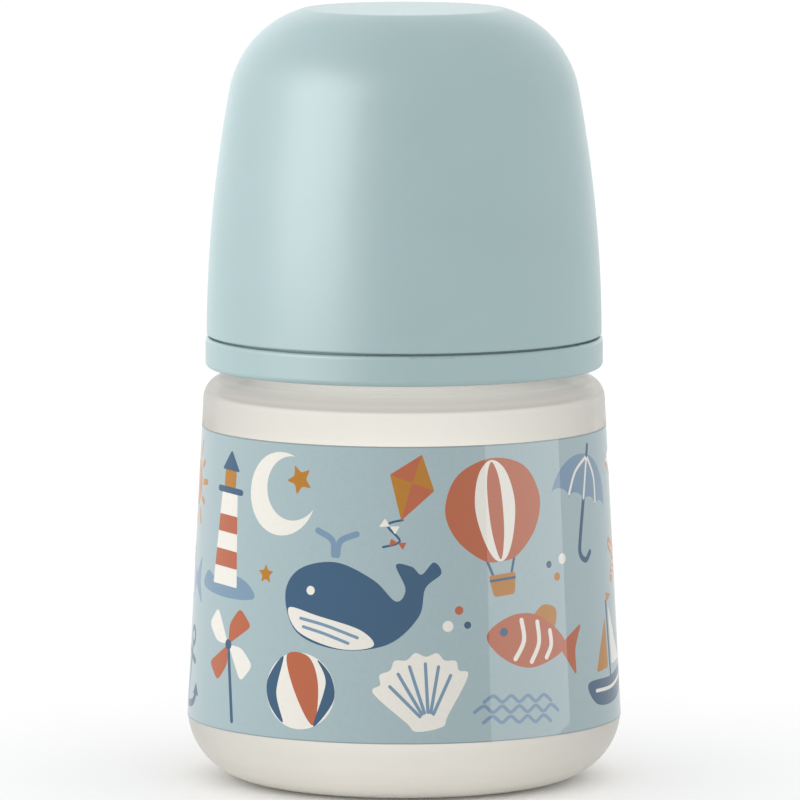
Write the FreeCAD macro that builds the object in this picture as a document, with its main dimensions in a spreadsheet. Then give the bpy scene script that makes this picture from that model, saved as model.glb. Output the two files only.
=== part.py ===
import FreeCAD, Part
import os

import Sketcher

# A small wide-neck baby bottle, drawn in millimetres about a vertical axis, standing on z = 0.
# The bottle takes a teat on its rim, a screw collar that clamps the teat, and a cap that sits on the
# collar. A printed film lies flush in the wall, apart from a strip at the back. Every size comes from
# the sheet called Sizes.

# Name, value in millimetres or degrees, and what it is.
SIZES = [
    # The bottle
    ("neck_radius", 24.3, "outside of the neck, where the thread starts"),
    ("shoulder_width", 6.02, "from the neck out to the corner of the shoulder"),
    ("body_flare", 3.21, "how much wider the wall is at the floor than at the shoulder"),
    ("shoulder_height", 60.97, "floor to the corner of the shoulder"),
    ("shoulder_rise", 0.73, "corner of the shoulder up to the foot of the neck"),
    ("neck_height", 13.4, "foot of the neck up to the rim"),
    ("bottle_wall", 1.8, "wall of the bottle"),
    ("heel_rounding", 10.4, "rounding between the wall and the floor"),
    ("shoulder_rounding", 3.45, "rounding of the corner of the shoulder"),
    ("neck_rounding", 0.9, "rounding at the foot of the neck"),
    ("rim_rounding", 0.35, "edges of the rim"),
    ("foot_width", 3.1, "ring that the bottle stands on"),
    ("base_recess", 1.6, "how far the middle of the base is raised"),
    ("recess_slope", 2.4, "width of the slope from the foot up to the recess"),
    ("recess_rounding", 2.2, "rounding at the edges of that slope"),
    # The printed film
    ("film_bottom", 9.6, "floor to the lower edge of the film"),
    ("film_margin", 7.1, "upper edge of the film down from the corner of the shoulder"),
    ("film_thickness", 0.25, "film"),
    ("film_gap", 0.03, "film to the seat in the wall, all round"),
    ("film_wrap", 308.0, "degrees of the wall that the film covers"),
    ("film_corner", 2.0, "rounding of the corners of the film"),
    # The screw collar
    ("thread_space", 1.5, "neck to the inside of the collar, which the thread fills"),
    ("collar_wall", 1.7, "skirt of the collar"),
    ("collar_gap", 1.0, "foot of the neck up to the lower edge of the collar"),
    ("band_height", 4.62, "band of the collar that shows below the cap"),
    ("band_step", 0.18, "how far the band stands out past the cap"),
    ("band_rounding", 0.8, "lower edge of the band"),
    ("band_top_rounding", 0.55, "upper edge of the band"),
    ("edge_rounding", 0.25, "sharp edges of the mouldings"),
    ("seam_height", 0.32, "shadow gap between the band and the cap"),
    ("seam_depth", 1.2, "depth of that gap"),
    ("snap_gap", 0.87, "skirt of the collar to the inside of the cap"),
    ("snap_clearance", 0.4, "bead on the skirt to the inside of the cap"),
    ("snap_height", 2.2, "cap seat up to the middle of the bead"),
    ("snap_width", 1.6, "height of the bead"),
    ("lip_thickness", 1.9, "collar lip that presses on the teat"),
    ("lip_radius", 19.6, "hole of the collar"),
    ("collar_slope", 0.6, "fall of the collar's top from the hole to the skirt"),
    ("collar_rounding", 2.0, "outer edge of the collar's top"),
    # The teat
    ("flange_thickness", 2.0, "teat flange between the rim and the lip"),
    ("flange_inset", 0.2, "edge of the flange inside the outside of the neck"),
    ("flange_clearance", 0.05, "flange to the lip"),
    ("lip_clearance", 0.3, "teat to the lip, in the groove"),
    ("bead_overhang", 0.9, "bead that keeps the teat in the collar, past the hole"),
    ("bead_height", 1.5, "that bead"),
    ("bead_rounding", 0.5, "edges of the bead"),
    ("teat_wall", 1.9, "silicone wall"),
    ("dome_height", 9.6, "bead up to the corner of the dome"),
    ("dome_inset", 1.2, "how much the dome narrows below its corner"),
    ("dome_rounding", 9.0, "rounding of the corner of the dome"),
    ("dome_rise", 4.6, "corner of the dome up to the root of the nipple"),
    ("root_radius", 6.4, "root of the nipple"),
    ("root_rounding", 5.0, "hollow between the dome and the nipple"),
    ("nipple_flare", 0.8, "how much wider the nipple is at its tip than at its root"),
    ("tip_rounding", 6.2, "rounding of the tip"),
    ("tip_reach", 0.9, "largest rounding that the tip holds, per its radius"),
    ("flow_hole", 0.8, "width of the hole in the tip"),
    # The cap
    ("cap_wall", 1.6, "wall of the cap"),
    ("cap_height", 49.39, "seat of the cap up to its flat top"),
    ("side_bow", 208.0, "radius of the long curve of the cap's side"),
    ("crown_drop", 3.1, "flat top down to the corner of the crown"),
    ("crown_inset", 5.44, "corner of the crown inside the lower edge"),
    ("crown_slope", 9.23, "corner of the crown in to the edge of the flat top"),
    ("crown_rounding", 15.5, "crown"),
    ("crown_reach", 1.7, "largest rounding that the crown's slope holds, per width of the slope"),
    ("top_rounding", 2.0, "edge of the flat top"),
    ("tip_clearance", 4.0, "tip of the teat to the inside of the cap"),
]

# Places that several pieces share, as formulas of the sheet.
NECK_FOOT = "(Sizes.shoulder_height + Sizes.shoulder_rise)"
RIM = f"({NECK_FOOT} + Sizes.neck_height)"
SHOULDER_RADIUS = "(Sizes.neck_radius + Sizes.shoulder_width)"
FLOOR_RADIUS = f"({SHOULDER_RADIUS} + Sizes.body_flare)"
COLLAR_BOTTOM = f"({NECK_FOOT} + Sizes.collar_gap)"
BAND_TOP = f"({COLLAR_BOTTOM} + Sizes.band_height)"
CAP_SEAT = f"({BAND_TOP} + Sizes.seam_height)"
CAP_TOP = f"({CAP_SEAT} + Sizes.cap_height)"
COLLAR_BORE = "(Sizes.neck_radius + Sizes.thread_space)"
SKIRT_RADIUS = f"({COLLAR_BORE} + Sizes.collar_wall)"
CAP_BORE = f"({SKIRT_RADIUS} + Sizes.snap_gap)"
CAP_RADIUS = f"({CAP_BORE} + Sizes.cap_wall)"
BAND_RADIUS = f"({CAP_RADIUS} + Sizes.band_step)"
FLANGE_TOP = f"({RIM} + Sizes.flange_thickness)"
LIP_BOTTOM = f"({FLANGE_TOP} + Sizes.flange_clearance)"
LIP_TOP = f"({LIP_BOTTOM} + Sizes.lip_thickness)"
GROOVE_RADIUS = "(Sizes.lip_radius - Sizes.lip_clearance)"
BEAD_BOTTOM = f"({LIP_TOP} + Sizes.flange_clearance)"
BEAD_TOP = f"({BEAD_BOTTOM} + Sizes.bead_height)"
DOME_CORNER = f"({BEAD_TOP} + Sizes.dome_height)"
TEAT_TIP = f"({CAP_TOP} - Sizes.cap_wall - Sizes.tip_clearance)"

AXIS = "0"
FLOOR = "0"

# Two lengths closer than this are the same length.
NEAR = 1e-4

# A new outline starts as a rough ring of sides, and a new arc with a slight bend. The formulas then
# place them.
ROUGH_RADIUS = 20.0
ROUGH_CENTRE = FreeCAD.Vector(25, 60, 0)
ROUGH_BEND = 0.03
UP = FreeCAD.Vector(0, 0, 1)

# Turns the middle of the film to -Y, the front, and the open strip to +Y.
FRONT = FreeCAD.Placement(FreeCAD.Vector(), FreeCAD.Rotation(UP, -90))


def make_sheet(doc):
    """The sheet of driving dimensions, one row each: name, value, meaning."""
    sheet = doc.addObject("Spreadsheet::Sheet", "Sizes")
    for row, (name, value, meaning) in enumerate(SIZES, start=1):
        sheet.set(f"A{row}", name)
        sheet.set(f"B{row}", str(value))
        sheet.set(f"C{row}", meaning)
        sheet.setAlias(f"B{row}", name)
    doc.recompute()
    return sheet


def wall_radius(height):
    """Formula for the outside of the bottle's wall at a height between the floor and the shoulder."""
    return f"({FLOOR_RADIUS} - Sizes.body_flare * {height} / Sizes.shoulder_height)"


def origin_feature(body, role):
    """A plane or axis of the body's own origin."""
    return next(feature for feature in body.Origin.OriginFeatures if feature.Role == role)


def outline(body, name, corners):
    """A closed outline of straight sides in the XZ plane. A corner is two formulas, radius and height."""
    sketch = body.newObject("Sketcher::SketchObject", name)
    sketch.AttachmentSupport = [(origin_feature(body, "XZ_Plane"), "")]
    sketch.MapMode = "FlatFace"
    start = []
    for index in range(len(corners)):
        turn = FreeCAD.Rotation(UP, 360.0 * index / len(corners))
        start.append(ROUGH_CENTRE + turn.multVec(FreeCAD.Vector(ROUGH_RADIUS, 0, 0)))
    for index, point in enumerate(start):
        sketch.addGeometry(Part.LineSegment(point, start[(index + 1) % len(start)]), False)
    for index in range(len(corners)):
        sketch.addConstraint(Sketcher.Constraint("Coincident", index, 2, (index + 1) % len(corners), 1))
    for index, (radius, height) in enumerate(corners):
        place(sketch, index, "DistanceX", radius, start[index].x)
        place(sketch, index, "DistanceY", height, start[index].y)
    body.Document.recompute()
    return sketch


def place(sketch, side, kind, formula, value):
    """Ties the start of one side to a formula, measured from the sketch's origin along X or Y."""
    if formula == "0":
        axis = -2 if kind == "DistanceX" else -1
        sketch.addConstraint(Sketcher.Constraint("PointOnObject", side, 1, axis))
        return
    index = sketch.addConstraint(Sketcher.Constraint(kind, -1, 1, side, 1, value))
    sketch.setExpression(f"Constraints[{index}]", formula)


def bow(sketch, side, formula):
    """Bends one side of an outline outward into an arc of that radius. The straight side stays as a guide."""
    first = sketch.Geometry[side].StartPoint
    last = sketch.Geometry[side].EndPoint
    chord = last - first
    outward = FreeCAD.Vector(chord.y, -chord.x, 0).normalize()
    middle = (first + last) / 2 + outward * (chord.Length * ROUGH_BEND)
    arc = sketch.addGeometry(Part.Arc(first, middle, last), False)
    sketch.toggleConstruction(side)
    sketch.addConstraint(Sketcher.Constraint("Coincident", arc, 1, side, 1))
    sketch.addConstraint(Sketcher.Constraint("Coincident", arc, 2, side, 2))
    index = sketch.addConstraint(Sketcher.Constraint("Radius", arc, sketch.Geometry[arc].Radius))
    sketch.setExpression(f"Constraints[{index}]", formula)
    sketch.Document.recompute()


def revolve(body, name, sketch, angle=None, kind="PartDesign::Revolution"):
    """Turns an outline round the vertical axis, all the way or through an angle to both sides alike."""
    feature = body.newObject(kind, name)
    feature.Profile = sketch
    feature.ReferenceAxis = (sketch, ["V_Axis"])
    if angle is None:
        feature.Angle = 360.0
    else:
        feature.Midplane = True
        feature.setExpression("Angle", angle)
    sketch.Visibility = False
    body.Document.recompute()
    return feature


def corner_of(sketch, index):
    """Radius and height of a corner of an outline, as solved."""
    point = sketch.Geometry[index].StartPoint
    return point.x, point.y


def ring_edges(shape, height):
    """The round edges of a shape at that height about the axis: pairs of name and radius."""
    found = []
    for number, edge in enumerate(shape.Edges, start=1):
        if not isinstance(edge.Curve, Part.Circle):
            continue
        centre = edge.Curve.Center
        if abs(centre.x) < NEAR and abs(centre.y) < NEAR and abs(centre.z - height) < NEAR:
            found.append((f"Edge{number}", edge.Curve.Radius))
    return found


def ring_edge(shape, radius, height):
    """Name of the round edge of a shape that lies at that radius and height."""
    for name, found_radius in ring_edges(shape, height):
        if abs(found_radius - radius) < NEAR:
            return name
    raise ValueError(f"no round edge at radius {radius:.3f}, height {height:.3f}")


def round_corners(body, name, sketch, indices, formula):
    """Rounds the edges that the named corners of an outline have drawn."""
    base = body.Tip
    edges = [ring_edge(base.Shape, *corner_of(sketch, index)) for index in indices]
    return round_edges(body, name, edges, formula)


def round_mouth(body, name, height, formula):
    """Rounds both edges of a shelled body's open end, which lies at that height."""
    edges = [edge for edge, _ in ring_edges(body.Tip.Shape, height)]
    return round_edges(body, name, edges, formula)


def round_edges(body, name, edges, formula):
    """Rounds the named edges of the body's latest shape."""
    base = body.Tip
    feature = body.newObject("PartDesign::Fillet", name)
    feature.Base = (base, edges)
    feature.setExpression("Radius", formula)
    body.Document.recompute()
    return feature


def hollow(body, name, height, formula):
    """Shells the body to an even wall, open at its flat face at that height."""
    base = body.Tip
    for number, face in enumerate(base.Shape.Faces, start=1):
        flat = isinstance(face.Surface, Part.Plane)
        if flat and abs(face.CenterOfMass.z - height) < NEAR:
            feature = body.newObject("PartDesign::Thickness", name)
            feature.Base = (base, [f"Face{number}"])
            feature.Reversed = True
            feature.setExpression("Value", formula)
            body.Document.recompute()
            return feature
    raise ValueError(f"no flat face at height {height:.3f}")


def drill(body, name, formula):
    """A round hole of that width along the vertical axis, through whatever stands on it."""
    sketch = body.newObject("Sketcher::SketchObject", f"{name}_outline")
    sketch.AttachmentSupport = [(origin_feature(body, "XY_Plane"), "")]
    sketch.MapMode = "FlatFace"
    circle = sketch.addGeometry(Part.Circle(FreeCAD.Vector(), UP, ROUGH_RADIUS), False)
    sketch.addConstraint(Sketcher.Constraint("Coincident", circle, 3, -1, 1))
    index = sketch.addConstraint(Sketcher.Constraint("Diameter", circle, 2 * ROUGH_RADIUS))
    sketch.setExpression(f"Constraints[{index}]", formula)
    body.Document.recompute()
    before = body.Shape.Volume
    feature = body.newObject("PartDesign::Pocket", name)
    feature.Profile = sketch
    feature.Type = "ThroughAll"
    feature.Reversed = True
    sketch.Visibility = False
    body.Document.recompute()
    if body.Shape.Volume >= before:
        raise RuntimeError(f"{name} cut nothing")
    return feature


def film_strip(body, name, margin, deep, shallow):
    """Section of a strip that follows the wall: the film's height and a margin, between two depths."""
    bottom = f"(Sizes.film_bottom - {margin})"
    top = f"(Sizes.shoulder_height - Sizes.film_margin + {margin})"
    return outline(
        body,
        name,
        [
            (f"{wall_radius(bottom)} - {deep}", bottom),
            (f"{wall_radius(bottom)} - {shallow}", bottom),
            (f"{wall_radius(top)} - {shallow}", top),
            (f"{wall_radius(top)} - {deep}", top),
        ],
    )


def round_strip(body, name, depth, formula):
    """Rounds the four corners of a strip, whose edges are as long as the strip is deep."""
    edges = [f"Edge{number}" for number, edge in enumerate(body.Tip.Shape.Edges, start=1)
             if isinstance(edge.Curve, Part.Line) and abs(edge.Length - depth) < NEAR]
    return round_edges(body, name, edges, formula)


def new_body(doc, name):
    body = doc.addObject("PartDesign::Body", name)
    body.Label = name
    return body


def make_bottle(doc):
    """The bottle: recessed base, rounded heel, tapered wall with the film's seat, shoulder and neck."""
    body = new_body(doc, "bottle_body")
    # The heel reaches a little further in along the floor than its rounding, because the wall leans.
    heel_reach = "Sizes.heel_rounding * (1 + Sizes.body_flare / Sizes.shoulder_height)"
    foot_inner = f"({FLOOR_RADIUS} - {heel_reach} - Sizes.foot_width)"
    recess_radius = f"({foot_inner} - Sizes.recess_slope)"
    sketch = outline(
        body,
        "bottle_outline",
        [
            (AXIS, "Sizes.base_recess"),
            (recess_radius, "Sizes.base_recess"),
            (foot_inner, FLOOR),
            (FLOOR_RADIUS, FLOOR),
            (SHOULDER_RADIUS, "Sizes.shoulder_height"),
            ("Sizes.neck_radius", NECK_FOOT),
            ("Sizes.neck_radius", RIM),
            (AXIS, RIM),
        ],
    )
    revolve(body, "bottle_solid", sketch)
    round_corners(body, "bottle_heel", sketch, [3], "Sizes.heel_rounding")
    round_corners(body, "bottle_shoulder", sketch, [4], "Sizes.shoulder_rounding")
    round_corners(body, "bottle_neck_foot", sketch, [5], "Sizes.neck_rounding")
    round_corners(body, "bottle_recess", sketch, [1, 2], "Sizes.recess_rounding")
    rim = corner_of(sketch, 6)[1]
    hollow(body, "bottle_inside", rim, "Sizes.bottle_wall")
    round_mouth(body, "bottle_rim", rim, "Sizes.rim_rounding")
    seat_depth = "(Sizes.film_thickness + Sizes.film_gap)"
    seat = film_strip(body, "seat_outline", "Sizes.film_gap", seat_depth, "(-Sizes.film_thickness)")
    seat_wrap = f"Sizes.film_wrap + 360 / pi * Sizes.film_gap / {SHOULDER_RADIUS}"
    revolve(body, "film_seat", seat, seat_wrap, "PartDesign::Groove")
    round_strip(body, "seat_corners", doc.Sizes.film_thickness + doc.Sizes.film_gap,
                "Sizes.film_corner + Sizes.film_gap")
    body.Placement = FRONT
    return body


def make_film(doc):
    """The printed film in its seat, open in a strip at the back, with rounded corners."""
    body = new_body(doc, "printed_film")
    sketch = film_strip(body, "film_outline", "0", "Sizes.film_thickness", "0")
    revolve(body, "film_solid", sketch, "Sizes.film_wrap")
    round_strip(body, "film_corners", doc.Sizes.film_thickness, "Sizes.film_corner")
    body.Placement = FRONT
    return body


def make_collar(doc):
    """The screw collar: skirt, the band below the cap, the cap's seat, and the lip over the teat."""
    body = new_body(doc, "screw_collar")
    seat_radius = f"({BAND_RADIUS} - Sizes.seam_depth)"
    skirt_top = f"({LIP_TOP} - Sizes.collar_slope)"
    sketch = outline(
        body,
        "collar_outline",
        [
            (COLLAR_BORE, COLLAR_BOTTOM),
            (BAND_RADIUS, COLLAR_BOTTOM),
            (BAND_RADIUS, BAND_TOP),
            (seat_radius, BAND_TOP),
            (seat_radius, CAP_SEAT),
            (SKIRT_RADIUS, CAP_SEAT),
            (SKIRT_RADIUS, skirt_top),
            ("Sizes.lip_radius", LIP_TOP),
            ("Sizes.lip_radius", LIP_BOTTOM),
            (COLLAR_BORE, LIP_BOTTOM),
        ],
    )
    revolve(body, "collar_solid", sketch)
    round_corners(body, "collar_band_edge", sketch, [1], "Sizes.band_rounding")
    round_corners(body, "collar_band_top", sketch, [2], "Sizes.band_top_rounding")
    round_corners(body, "collar_edges", sketch, [0, 7, 8], "Sizes.edge_rounding")
    round_corners(body, "collar_top_edge", sketch, [6], "Sizes.collar_rounding")
    buried = f"({SKIRT_RADIUS} - Sizes.collar_wall / 2)"
    bead_radius = f"({CAP_BORE} - Sizes.snap_clearance)"
    bead_middle = f"({CAP_SEAT} + Sizes.snap_height)"
    bead_bottom = f"({bead_middle} - Sizes.snap_width / 2)"
    bead_top = f"({bead_middle} + Sizes.snap_width / 2)"
    bead = outline(
        body,
        "snap_outline",
        [
            (buried, bead_bottom),
            (SKIRT_RADIUS, bead_bottom),
            (bead_radius, bead_middle),
            (SKIRT_RADIUS, bead_top),
            (buried, bead_top),
        ],
    )
    revolve(body, "snap_bead", bead)
    return body


def make_teat(doc):
    """The silicone teat: a hollow dome and nipple, the flange that seals the rim, the bead above the lip."""
    body = new_body(doc, "teat")
    corner_radius = f"({GROOVE_RADIUS} - Sizes.dome_inset)"
    tip_radius = "(Sizes.root_radius + Sizes.nipple_flare)"
    sketch = outline(
        body,
        "teat_outline",
        [
            (AXIS, RIM),
            (GROOVE_RADIUS, RIM),
            (GROOVE_RADIUS, BEAD_TOP),
            (corner_radius, DOME_CORNER),
            ("Sizes.root_radius", f"({DOME_CORNER} + Sizes.dome_rise)"),
            (tip_radius, TEAT_TIP),
            (AXIS, TEAT_TIP),
        ],
    )
    revolve(body, "teat_solid", sketch)
    round_corners(body, "teat_dome", sketch, [3], "Sizes.dome_rounding")
    round_corners(body, "teat_root", sketch, [4], "Sizes.root_rounding")
    tip_rounding = f"min(Sizes.tip_rounding; {tip_radius} * Sizes.tip_reach)"
    round_corners(body, "teat_tip", sketch, [5], tip_rounding)
    hollow(body, "teat_inside", corner_of(sketch, 1)[1], "Sizes.teat_wall")
    buried = f"({GROOVE_RADIUS} - Sizes.teat_wall / 2)"
    flange_radius = "(Sizes.neck_radius - Sizes.flange_inset)"
    flange = outline(
        body,
        "flange_outline",
        [(buried, RIM), (flange_radius, RIM), (flange_radius, FLANGE_TOP), (buried, FLANGE_TOP)],
    )
    revolve(body, "teat_flange", flange)
    round_corners(body, "flange_edge", flange, [1, 2], "Sizes.edge_rounding")
    bead_radius = "(Sizes.lip_radius + Sizes.bead_overhang)"
    bead = outline(
        body,
        "bead_outline",
        [(buried, BEAD_BOTTOM), (bead_radius, BEAD_BOTTOM), (bead_radius, BEAD_TOP), (buried, BEAD_TOP)],
    )
    revolve(body, "teat_bead", bead)
    round_corners(body, "bead_edge", bead, [1, 2], "Sizes.bead_rounding")
    drill(body, "teat_flow_hole", "Sizes.flow_hole")
    return body


def make_cap(doc):
    """The cap: a hollow dome with a flat top, open below."""
    body = new_body(doc, "cap")
    sketch = outline(
        body,
        "cap_outline",
        [
            (AXIS, CAP_SEAT),
            (CAP_RADIUS, CAP_SEAT),
            (f"({CAP_RADIUS} - Sizes.crown_inset)", f"({CAP_TOP} - Sizes.crown_drop)"),
            (f"({CAP_RADIUS} - Sizes.crown_inset - Sizes.crown_slope)", CAP_TOP),
            (AXIS, CAP_TOP),
        ],
    )
    bow(sketch, 1, "Sizes.side_bow")
    revolve(body, "cap_solid", sketch)
    crown_rounding = "min(Sizes.crown_rounding; Sizes.crown_slope * Sizes.crown_reach)"
    round_corners(body, "cap_crown", sketch, [2], crown_rounding)
    round_corners(body, "cap_top_edge", sketch, [3], "Sizes.top_rounding")
    seat = corner_of(sketch, 1)[1]
    hollow(body, "cap_inside", seat, "Sizes.cap_wall")
    round_mouth(body, "cap_lower_edge", seat, "Sizes.edge_rounding")
    return body


def check(doc, bodies):
    """Stops the build if an object failed or a piece has no sound shape."""
    for item in doc.Objects:
        if "Invalid" in item.State or "Error" in item.State:
            raise RuntimeError(f"{item.Label} failed: {item.State}")
    for body in bodies:
        if body.Shape.isNull() or not body.Shape.isValid():
            raise RuntimeError(f"{body.Label} has no valid shape")


def main():
    doc = FreeCAD.newDocument("baby_bottle")
    make_sheet(doc)
    bodies = [make(doc) for make in (make_bottle, make_film, make_collar, make_teat, make_cap)]
    doc.recompute()
    check(doc, bodies)
    os.makedirs("parts", exist_ok=True)
    for body in bodies:
        body.Shape.exportStep(f"parts/{body.Label}.step")
        box = body.Shape.BoundBox
        print(f"{body.Label}: {len(body.Shape.Solids)} solid, {body.Shape.Volume:.0f} mm3, "
              f"z {box.ZMin:.2f} to {box.ZMax:.2f}, {box.XLength:.2f} x {box.YLength:.2f}")


main()
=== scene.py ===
import cmath
import math

import bmesh
import bpy
import numpy as np
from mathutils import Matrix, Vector
from mathutils.geometry import delaunay_2d_cdt


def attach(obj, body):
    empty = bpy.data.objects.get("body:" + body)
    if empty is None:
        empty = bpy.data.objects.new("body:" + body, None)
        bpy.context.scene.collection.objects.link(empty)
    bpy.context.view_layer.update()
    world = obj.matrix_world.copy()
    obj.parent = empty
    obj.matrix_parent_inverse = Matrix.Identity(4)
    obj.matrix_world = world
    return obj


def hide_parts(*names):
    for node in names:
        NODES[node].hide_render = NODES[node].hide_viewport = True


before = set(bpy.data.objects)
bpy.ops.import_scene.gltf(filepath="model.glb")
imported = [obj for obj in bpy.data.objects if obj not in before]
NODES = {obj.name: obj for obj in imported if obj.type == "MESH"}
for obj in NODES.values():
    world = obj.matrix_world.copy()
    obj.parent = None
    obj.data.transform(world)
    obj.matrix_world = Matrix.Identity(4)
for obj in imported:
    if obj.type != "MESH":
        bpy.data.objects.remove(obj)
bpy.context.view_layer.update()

# A small wide-neck baby bottle at rest: body with a printed film, teat, screw collar and cap.
# Lengths are in millimetres where a name or comment says so, and MM turns them into metres.

MM = 0.001
scene = bpy.context.scene
scene.view_settings.view_transform = "Standard"


def lin(red, green, blue):
    """A colour given in display values of 0 to 255, as the shaders want it."""
    def one(value):
        value /= 255.0
        return value / 12.92 if value <= 0.04045 else ((value + 0.055) / 1.055) ** 2.4
    return (one(red), one(green), one(blue), 1.0)


def scaled(colour, factor):
    """A colour made darker or lighter."""
    return tuple(channel * factor for channel in colour[:3]) + (1.0,)


# Materials

# Nearly all the values of a noise lie between these two.
NOISE_LOW, NOISE_HIGH = 0.3, 0.7


def principled(name, constants):
    """A new material with constant values on its shader's sockets."""
    material = bpy.data.materials.new(name)
    material.use_nodes = True
    shader = material.node_tree.nodes["Principled BSDF"]
    for socket, value in constants.items():
        shader.inputs[socket].default_value = value
    return material, material.node_tree, shader


def noise(tree, scale, detail=2.0, roughness=0.5):
    """A noise over the object's own coordinates, which are metres."""
    coordinates = tree.nodes.new("ShaderNodeTexCoord")
    texture = tree.nodes.new("ShaderNodeTexNoise")
    texture.inputs["Scale"].default_value = scale
    texture.inputs["Detail"].default_value = detail
    texture.inputs["Roughness"].default_value = roughness
    tree.links.new(coordinates.outputs["Object"], texture.inputs["Vector"])
    return texture.outputs["Fac"]


def spread(tree, value, low, high, start=NOISE_LOW, end=NOISE_HIGH):
    """Stretches a value that runs from start to end, such as a noise, between two numbers."""
    node = tree.nodes.new("ShaderNodeMapRange")
    node.inputs["From Min"].default_value = start
    node.inputs["From Max"].default_value = end
    node.inputs["To Min"].default_value = low
    node.inputs["To Max"].default_value = high
    tree.links.new(value, node.inputs["Value"])
    return node.outputs["Result"]


def tones(tree, shader, value, dark, light):
    """Runs a noise between two base colours."""
    ramp = tree.nodes.new("ShaderNodeValToRGB")
    ramp.color_ramp.elements[0].position = NOISE_LOW
    ramp.color_ramp.elements[0].color = dark
    ramp.color_ramp.elements[1].position = NOISE_HIGH
    ramp.color_ramp.elements[1].color = light
    tree.links.new(value, ramp.inputs["Fac"])
    tree.links.new(ramp.outputs["Color"], shader.inputs["Base Color"])


def relief(tree, shader, layers):
    """Bump from noises, each with its height in millimetres. The last one is on top."""
    normal = None
    for value, height in layers:
        bump = tree.nodes.new("ShaderNodeBump")
        bump.inputs["Strength"].default_value = 1.0
        bump.inputs["Distance"].default_value = height * MM
        tree.links.new(value, bump.inputs["Height"])
        if normal:
            tree.links.new(normal, bump.inputs["Normal"])
        normal = bump.outputs["Normal"]
    tree.links.new(normal, shader.inputs["Normal"])


def moulded_plastic(name, colour):
    """Pale polypropylene with the fine spark-eroded grain of its mould."""
    material, tree, shader = principled(name, {"Specular IOR Level": 0.62})
    cloudy = noise(tree, 90.0, detail=3.0)
    grain = noise(tree, 2600.0, detail=2.0)
    tones(tree, shader, cloudy, scaled(colour, 0.985), scaled(colour, 1.015))
    tree.links.new(spread(tree, grain, 0.37, 0.43), shader.inputs["Roughness"])
    relief(tree, shader, [(grain, 0.0035), (noise(tree, 260.0), 0.004)])
    return material


def by_height(tree, stops):
    """A colour that changes with the height, given as stops of millimetres and colour."""
    top = stops[-1][0]
    coordinates = tree.nodes.new("ShaderNodeTexCoord")
    parts = tree.nodes.new("ShaderNodeSeparateXYZ")
    tree.links.new(coordinates.outputs["Object"], parts.inputs["Vector"])
    ramp = tree.nodes.new("ShaderNodeValToRGB")
    tree.links.new(spread(tree, parts.outputs["Z"], 0.0, 1.0, 0.0, top * MM), ramp.inputs["Fac"])
    elements = ramp.color_ramp.elements
    while len(elements) < len(stops):
        elements.new(0.5)
    for element, (height, colour) in zip(elements, stops):
        element.position = height / top
        element.color = colour
    return ramp.outputs["Color"]


def milky_plastic(name, colours, alphas=None):
    """Polypropylene with a satin skin, coloured by height.

    Where it has alphas, the inside of the wall shows through, and the skin's inner side carries painted
    shade.
    """
    material, tree, shader = principled(name, {"Specular IOR Level": 0.2, "IOR": 1.49})
    cloudy = noise(tree, 70.0, detail=4.0)
    skin = noise(tree, 1400.0, detail=2.0)
    clouds = tree.nodes.new("ShaderNodeMix")
    clouds.data_type = "RGBA"
    clouds.blend_type = "MULTIPLY"
    tree.links.new(spread(tree, cloudy, 0.0, 0.03), clouds.inputs["Factor"])
    tree.links.new(by_height(tree, colours), clouds.inputs["A"])
    clouds.inputs["B"].default_value = (0.0, 0.0, 0.0, 1.0)
    colour = clouds.outputs["Result"]
    if alphas:
        greys = [(height, (alpha, alpha, alpha, 1.0)) for height, alpha in alphas]
        tree.links.new(by_height(tree, greys), shader.inputs["Alpha"])
        # Seen from behind, the skin takes a colour of painted shade.
        sides = tree.nodes.new("ShaderNodeMix")
        sides.data_type = "RGBA"
        geometry = tree.nodes.new("ShaderNodeNewGeometry")
        tree.links.new(geometry.outputs["Backfacing"], sides.inputs["Factor"])
        tree.links.new(colour, sides.inputs["A"])
        sides.inputs["B"].default_value = SKIN_INSIDE_SHADE
        colour = sides.outputs["Result"]
    tree.links.new(colour, shader.inputs["Base Color"])
    tree.links.new(spread(tree, skin, 0.3, 0.37), shader.inputs["Roughness"])
    relief(tree, shader, [(skin, 0.0015)])
    return material


def print_ink(name, colour):
    """Flat ink under the clear coat of the film, with the slight mottle of a print."""
    mottle = 0.02
    material, tree, shader = principled(name, {
        "Specular IOR Level": 0.2,
        "Coat Weight": 0.6,
        "Coat Roughness": 0.02,
        "Coat IOR": 1.5,
    })
    specks = noise(tree, 1500.0, detail=3.0, roughness=0.6)
    tones(tree, shader, specks, scaled(colour, 1.0 - mottle), scaled(colour, 1.0 + mottle))
    tree.links.new(spread(tree, specks, 0.5, 0.6), shader.inputs["Roughness"])
    relief(tree, shader, [(noise(tree, 60.0, detail=1.0), 0.002)])
    return material


def clear_silicone(name):
    """Milky clear silicone with a soft sheen, through which its inside shows a little."""
    material, tree, shader = principled(name, {"Alpha": 0.76, "IOR": 1.41})
    cloudy = noise(tree, 120.0, detail=3.0)
    tones(tree, shader, cloudy, lin(225, 224, 219), lin(229, 228, 223))
    tree.links.new(spread(tree, cloudy, 0.3, 0.37), shader.inputs["Roughness"])
    relief(tree, shader, [(noise(tree, 900.0), 0.002)])
    return material


def studio_floor(name):
    """A plain matt white."""
    material, tree, shader = principled(name, {"Roughness": 0.9, "Specular IOR Level": 0.0})
    tones(tree, shader, noise(tree, 8.0), (0.98, 0.98, 0.98, 1), (0.99, 0.99, 0.99, 1))
    return material


TEAL = lin(150, 173, 175)
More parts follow.
